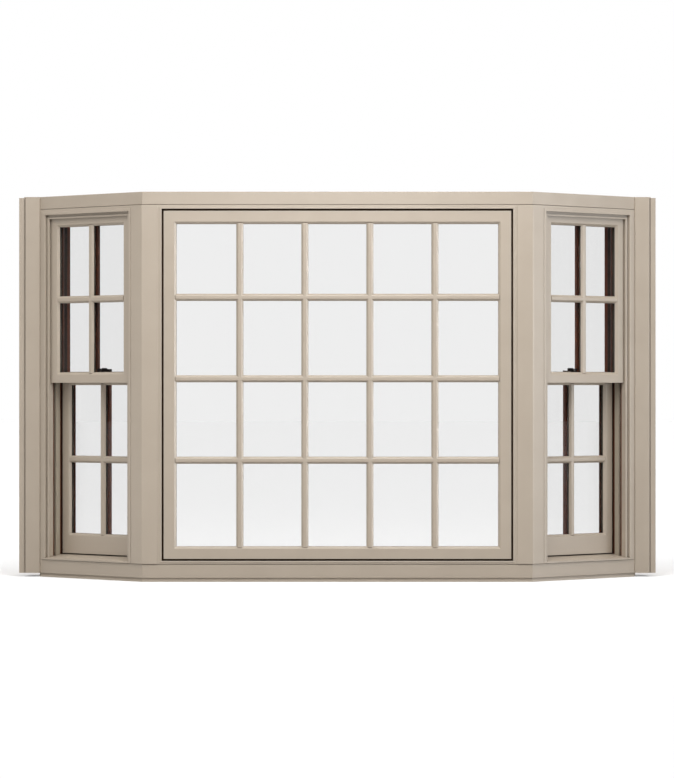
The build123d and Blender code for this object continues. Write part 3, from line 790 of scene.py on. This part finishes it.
class BAY_OT_stage(bpy.types.Operator):
    """Floor, white surroundings, softboxes and camera"""

    bl_idname = "bay.stage"
    bl_label = "Stage"

    def execute(self, context):
        scene = context.scene
        stage = scene.bay_stage
        front = CAD_BOX[0][1]
        scene.view_settings.view_transform = "Standard"
        scene.world = self.surroundings(stage)

        mesh = bpy.data.meshes.new("floor")
        corners = [(-FLOOR_REACH, -FLOOR_REACH, 0), (FLOOR_REACH, -FLOOR_REACH, 0)]
        corners += [(FLOOR_REACH, FLOOR_REACH, 0), (-FLOOR_REACH, FLOOR_REACH, 0)]
        mesh.from_pydata(corners, [], [(0, 1, 2, 3)])
        mesh.materials.append(self.floor_material())
        floor = bpy.data.objects.new("floor", mesh)
        scene.collection.objects.link(floor)

        self.softbox("key", stage.key, place=(0.1, front - 1.9, 2.9), target=(0.1, front, 0.9), size=1.5)
        # the other two light no matt surface: they show only in gloss
        sheen = self.softbox("sheen", stage.sheen, place=(4.2, -1.7, 0.9), target=(0.8, 0.0, 0.45), size=1.2)
        sheen.visible_diffuse = False
        crown = self.softbox(
            "crown", stage.crown, place=(0.0, front - 1.5, 1.9), target=(0.0, front, 1.15), size=0.8
        )
        crown.visible_diffuse = False

        camera = bpy.data.cameras.new("camera")
        camera.lens = stage.lens
        camera.sensor_width = 36.0
        camera.clip_end = 200.0
        taker = bpy.data.objects.new("camera", camera)
        taker.location = (CAMERA_ASIDE, front - stage.distance, stage.eye)
        taker.rotation_euler = (radians(90), 0.0, 0.0)
        scene.collection.objects.link(taker)
        scene.camera = taker
        return {"FINISHED"}

    def seen_share(self, tree, behind):
        """1 for rays that show the backdrop: straight, through glass, or mirrored from behind the bay."""
        path = add(tree, "ShaderNodeLightPath").outputs
        camera, glossy, through = (path[f"Is {kind} Ray"] for kind in ("Camera", "Glossy", "Transmission"))
        # a depth under a half is one before the first bounce of its kind
        straight = add(tree, "ShaderNodeMath", {0: path["Glossy Depth"], 1: 0.5}, operation="LESS_THAN")
        unscattered = add(tree, "ShaderNodeMath", {0: path["Diffuse Depth"], 1: 0.5}, operation="LESS_THAN")
        open_view = add(tree, "ShaderNodeMath", {0: camera, 1: glossy}, operation="MAXIMUM")
        any_view = add(tree, "ShaderNodeMath", {0: open_view, 1: through}, operation="MAXIMUM")
        clear = add(tree, "ShaderNodeMath", {0: any_view, 1: unscattered}, operation="MULTIPLY")
        ahead = add(tree, "ShaderNodeMath", {0: straight, 1: behind}, operation="MAXIMUM")
        return add(tree, "ShaderNodeMath", {0: clear, 1: ahead}, operation="MULTIPLY")

    def surroundings(self, stage):
        """White backdrop behind the bay, a room that is brighter above, and a dim one for what it mirrors."""
        world = bpy.data.worlds.new("studio")
        world.use_nodes = True
        tree = world.node_tree
        tree.nodes.clear()
        way = add(tree, "ShaderNodeTexCoord").outputs["Generated"]
        axes = add(tree, "ShaderNodeSeparateXYZ", {"Vector": way}).outputs
        behind = add(tree, "ShaderNodeMapRange", {"Value": axes["Y"], "From Min": 0.1, "From Max": 0.5})
        heights = {"Value": axes["Z"], "To Min": stage.room, "To Max": stage.zenith}
        sky = add(tree, "ShaderNodeMapRange", heights)
        path = add(tree, "ShaderNodeLightPath").outputs
        kinds = {0: path["Is Glossy Ray"], 1: path["Is Transmission Ray"]}
        turned = add(tree, "ShaderNodeMath", kinds, operation="MAXIMUM")
        unscattered = add(tree, "ShaderNodeMath", {0: path["Diffuse Depth"], 1: 0.5}, operation="LESS_THAN")
        mirrored = add(tree, "ShaderNodeMath", {0: turned, 1: unscattered}, operation="MULTIPLY")
        strength = add(tree, "ShaderNodeMix", {"Factor": mirrored, "A": sky, "B": stage.mirrored})
        white = (1.0, 1.0, 1.0, 1.0)
        rays = {
            0: self.seen_share(tree, behind),
            1: add(tree, "ShaderNodeBackground", {"Color": white, "Strength": strength}),
            2: add(tree, "ShaderNodeBackground", {"Color": white, "Strength": 1.0}),
        }
        add(tree, "ShaderNodeOutputWorld", {"Surface": add(tree, "ShaderNodeMixShader", rays)})
        return world

    def floor_material(self):
        """Matt white studio floor that keeps the shadow."""
        material, tree = new_material("matt_studio_floor")
        place = add(tree, "ShaderNodeTexCoord").outputs["Object"]
        depth = add(tree, "ShaderNodeSeparateXYZ", {"Vector": place}).outputs["Y"]
        behind = add(tree, "ShaderNodeMapRange", {"Value": depth, "From Min": 0.3, "From Max": 1.0})
        seen = self.seen_share(tree, behind)
        straight = add(tree, "ShaderNodeLightPath").outputs["Is Camera Ray"]
        shown = add(tree, "ShaderNodeMath", {0: seen, 1: FLOOR_GLOW}, operation="MULTIPLY")
        more = add(tree, "ShaderNodeMath", {0: straight, 1: FLOOR_GLOW_STRAIGHT}, operation="MULTIPLY")
        glow = add(tree, "ShaderNodeMath", {0: shown, 1: more}, operation="ADD")
        both = {
            0: add(tree, "ShaderNodeBsdfDiffuse", {"Color": FLOOR_SHADE, "Roughness": 1.0}),
            1: add(tree, "ShaderNodeEmission", {"Strength": glow}),
        }
        add(tree, "ShaderNodeOutputMaterial", {"Surface": add(tree, "ShaderNodeAddShader", both)})
        return material

    def softbox(self, name, power, place, target, size):
        """Square area lamp aimed at a point."""
        lamp = bpy.data.lights.new(name, "AREA")
        lamp.energy = power
        lamp.size = size
        holder = bpy.data.objects.new(name, lamp)
        holder.location = place
        holder.rotation_euler = (Vector(target) - Vector(place)).to_track_quat("-Z", "Y").to_euler()
        holder.visible_camera = False
        bpy.context.scene.collection.objects.link(holder)
        return holder


class BAY_OT_finishes(bpy.types.Operator):
    """Finishes of the cladding, wood, glass, liners and locks"""

    bl_idname = "bay.finishes"
    bl_label = "Finishes"

    def execute(self, context):
        finishes = context.scene.bay_finishes
        timber = (finishes.timber_dark, finishes.timber_light, finishes.timber_dark)
        by_slot = {
            "painted_cladding": baked_paint("taupe_baked_paint", finishes.paint, roughness=0.42),
            "soffit_panel": baked_paint("taupe_rolled_paint", finishes.paint, roughness=0.55, joints=1.0),
            "veneered_board": stained("stained_veneer", finishes, sight=FAR),
            "stained_wood": stained("stained_post", finishes, sight=-FAR),
            "spacer": moulded_vinyl("foam_spacer", finishes.spacer, roughness=0.7, stripe=0.05),
            "lock_bronze": rubbed_bronze("rubbed_bronze", finishes.bronze, finishes.bronze_worn),
            "post_timber": wood("bare_softwood", timber, roughness=0.6, lacquer=0.0, pore=0.3, sight=-FAR),
        }
        front_glass = clear_glass("clear_float_glass", finishes.front_glass)
        side_glass = clear_glass("clear_float_glass_oblique", finishes.side_glass)
        window_wood = {}
        for side in SIDES:
            # painted shade in the crevices: frame wood keeps half its colour there, sash wood all of it
            for kind, joints in (("sash", 1.0), ("frame", 0.5)):
                # both sashes of a side window have stiles of one width
                source = "upper_sash" if kind == "sash" and side != "centre" else kind
                points = unit_points(f"{side}_{source}_wood", side)
                middle, _ = span([p.x for p in points])
                sight = min(abs(p.x - middle) for p in points) - STILE_MARGIN
                window_wood[side, kind] = stained(
                    f"stained_{kind}_{side}", finishes, sight, turn_of(side), middle, joints
                )

        slots = {row["node"]: row["material_slot"] for row in frame["record"]["subparts"]}
        for node, obj in frame["nodes"].items():
            side = node.split("_")[0]
            finish = by_slot.get(slots[node])
            if node.endswith("_wood"):
                finish = window_wood[side, "sash" if "sash" in node else "frame"]
            elif slots[node] == "jamb_liner":
                # the room-side half of the liner takes a darker colour as painted shade of the deep track,
                # and its crevices a painted shade too
                depths = [p.y for p in unit_points(node, side)]
                inner = min(depths) + 0.5 * (max(depths) - min(depths))
                finish = moulded_vinyl(
                    f"pvc_liner_{side}",
                    finishes.liner,
                    roughness=0.45,
                    stripe=0.06,
                    turn=turn_of(side),
                    inner=inner,
                    painted_deep_shade=finishes.shaded_inner_liner,
                    joints=0.35,
                )
            elif slots[node] == "glass":
                finish = front_glass if side == "centre" else side_glass
            if finish is None:
                raise RuntimeError(f"no finish for {node}")
            for place in obj.material_slots:
                place.material = finish
        return {"FINISHED"}


class BAY_OT_glazing_bars(bpy.types.Operator):
    """Glazing bars: painted outside, stained inside, with spacer bars between the panes"""

    bl_idname = "bay.glazing_bars"
    bl_label = "Glazing bars"

    def execute(self, context):
        finishes, bars = context.scene.bay_finishes, context.scene.bay_bars
        tree = bars_tree()
        paint = baked_paint("taupe_baked_bar_paint", finishes.paint, roughness=0.42, joints=1.0)
        spacer = bpy.data.materials["foam_spacer"]
        # a bar's foot is on y = 0 and it rises towards +y: turned over for the outside
        turned_over = Matrix.Rotation(radians(180), 4, "Z")
        for side, sash in SASHES:
            place, width, height, unit_depth = glass_opening(side, sash)
            front = side == "centre"
            outside = {
                "Width": width,
                "Height": height,
                "Columns": bars.front_columns if front else bars.side_columns,
                "Rows": bars.front_rows if front else bars.side_rows,
                "Bar Width": bars.width,
                "Bar Flat": bars.flat,
                "Bar Rise": bars.rise,
                "Shoulder": bars.shoulder,
                "Overrun": OUTSIDE_OVERRUN,
                "Spread": bars.front_spread if front else 1.0,
                "Lift": bars.front_lift if front else 0.0,
                "Upright Material": paint,
                "Level Material": paint,
            }
            grown_piece(f"{sash}_outside_bars", tree, outside, side, place, turned_over)
            inside = {
                **outside,
                "Bar Flat": bars.room_flat,
                "Bar Rise": bars.room_rise,
                "Overrun": INSIDE_OVERRUN,
                "Upright Material": stained(f"{sash}_upright_bar", finishes, sight=-FAR, turn=turn_of(side)),
                "Level Material": stained(f"{sash}_level_bar", finishes, sight=FAR, turn=turn_of(side)),
            }
            back = place + Vector((0, unit_depth, 0))
            grown_piece(f"{sash}_inside_bars", tree, inside, side, back)
            between = {
                **outside,
                "Bar Width": bars.between,
                "Bar Flat": bars.between,
                "Bar Rise": unit_depth - 2 * PANE,
                "Shoulder": 0.0,
                "Overrun": BETWEEN_OVERRUN,
                "Upright Material": spacer,
                "Level Material": spacer,
            }
            inner = place + Vector((0, PANE, 0))
            grown_piece(f"{sash}_spacer_bars", tree, between, side, inner)
        return {"FINISHED"}


class BAY_OT_seals(bpy.types.Operator):
    """Seals round the fixed sash and between the meeting rails"""

    bl_idname = "bay.seals"
    bl_label = "Seals"

    def execute(self, context):
        sizes = context.scene.bay_seals
        shade = context.scene.bay_finishes.rubber
        rubber = moulded_vinyl("black_brown_rubber", shade, roughness=0.8, stripe=0.05)
        tree = seal_tree()

        sash = unit_points("centre_sash_cladding", "centre")
        casing = unit_points("centre_frame_cladding", "centre")
        middle, width = span([p.x for p in sash])
        level, height = span([p.z for p in sash])
        gap = min(abs(p.x - middle) for p in casing) - width / 2
        ring = {
            "Width": width + gap,
            "Height": height + gap,
            "Strip Width": sizes.width,
            "Strip Depth": sizes.depth,
            "Material": rubber,
        }
        back = max(p.y for p in casing) - sizes.depth / 2
        grown_piece("centre_sash_seal", tree, ring, "centre", Vector((middle, back, level)))

        for side in ("left", "right"):
            upper = unit_points(f"{side}_upper_sash_wood", side)
            lower = unit_points(f"{side}_lower_sash_cladding", side)
            middle, width = span([p.x for p in lower])
            front, back = max(p.y for p in upper), min(p.y for p in lower)
            level = (min(p.z for p in upper) + max(p.z for p in lower)) / 2
            # a flat ring: its mitres narrow the strip, so a slit of 0.9 mm stays between its long sides
            strip = {
                "Width": width - sizes.pile_height,
                "Height": sizes.pile_height / 2,
                "Strip Width": sizes.pile_height / 2,
                "Strip Depth": back - front,
                "Material": rubber,
            }
            place = Vector((middle, (front + back) / 2, level))
            grown_piece(f"{side}_meeting_seal", tree, strip, side, place)
        return {"FINISHED"}


class BAY_OT_lock_screws(bpy.types.Operator):
    """Screws of the sash locks"""

    bl_idname = "bay.lock_screws"
    bl_label = "Lock screws"

    def execute(self, context):
        sizes = context.scene.bay_screws
        tree = screws_tree()
        row = {
            "Count": 2,
            "Apart": sizes.spacing,
            "Head Radius": sizes.head_radius,
            "Head Height": sizes.head_radius * HEAD_HEIGHT,
            "Material": bpy.data.materials["rubbed_bronze"],
        }
        for side in ("left", "right"):
            lock = unit_points(f"{side}_sash_lock", side)
            seat = max(p.z for p in unit_points(f"{side}_lower_sash_cladding", side))
            base = [p for p in lock if abs(p.z - seat) < TOUCHING]
            across, length = span([p.x for p in base])
            depth, breadth = span([p.y for p in base])
            top = max(p.z for p in lock if abs(abs(p.x - across) - length / 2) < TOUCHING)
            # the screws stand a third of the base's breadth towards the room, beside the lever
            place = Vector((across, depth + breadth / 3, top))
            grown_piece(f"{side}_lock_screws", tree, row, side, place)
        return {"FINISHED"}


class BAY_PT_panel(bpy.types.Panel):
    """Bay window finishes in the sidebar"""

    bl_idname = "BAY_PT_panel"
    bl_label = "Bay window"
    bl_space_type = "VIEW_3D"
    bl_region_type = "UI"
    bl_category = "Bay"

    def draw(self, context):
        scene = context.scene
        for group, step in (
            (scene.bay_stage, "bay.stage"),
            (scene.bay_finishes, "bay.finishes"),
            (scene.bay_bars, "bay.glazing_bars"),
            (scene.bay_seals, "bay.seals"),
            (scene.bay_screws, "bay.lock_screws"),
        ):
            column = self.layout.column()
            for name in group.bl_rna.properties.keys():
                if name not in ("rna_type", "name"):
                    column.prop(group, name)
            column.operator(step)


CLASSES = (
    BayFinishes,
    BayBars,
    BaySeals,
    BayLockScrews,
    BayStage,
    BAY_OT_stage,
    BAY_OT_finishes,
    BAY_OT_glazing_bars,
    BAY_OT_seals,
    BAY_OT_lock_screws,
    BAY_PT_panel,
)


def register():
    for item in CLASSES:
        bpy.utils.register_class(item)
    bpy.types.Scene.bay_finishes = bpy.props.PointerProperty(type=BayFinishes)
    bpy.types.Scene.bay_bars = bpy.props.PointerProperty(type=BayBars)
    bpy.types.Scene.bay_seals = bpy.props.PointerProperty(type=BaySeals)
    bpy.types.Scene.bay_screws = bpy.props.PointerProperty(type=BayLockScrews)
    bpy.types.Scene.bay_stage = bpy.props.PointerProperty(type=BayStage)


def unregister():
    del bpy.types.Scene.bay_finishes
    del bpy.types.Scene.bay_bars
    del bpy.types.Scene.bay_seals
    del bpy.types.Scene.bay_screws
    del bpy.types.Scene.bay_stage
    for item in reversed(CLASSES):
        bpy.utils.unregister_class(item)


def main():
    register()
    bpy.ops.bay.stage()
    bpy.ops.bay.finishes()
    bpy.ops.bay.glazing_bars()
    bpy.ops.bay.seals()
    bpy.ops.bay.lock_screws()


if __name__ == "__main__":
    main()
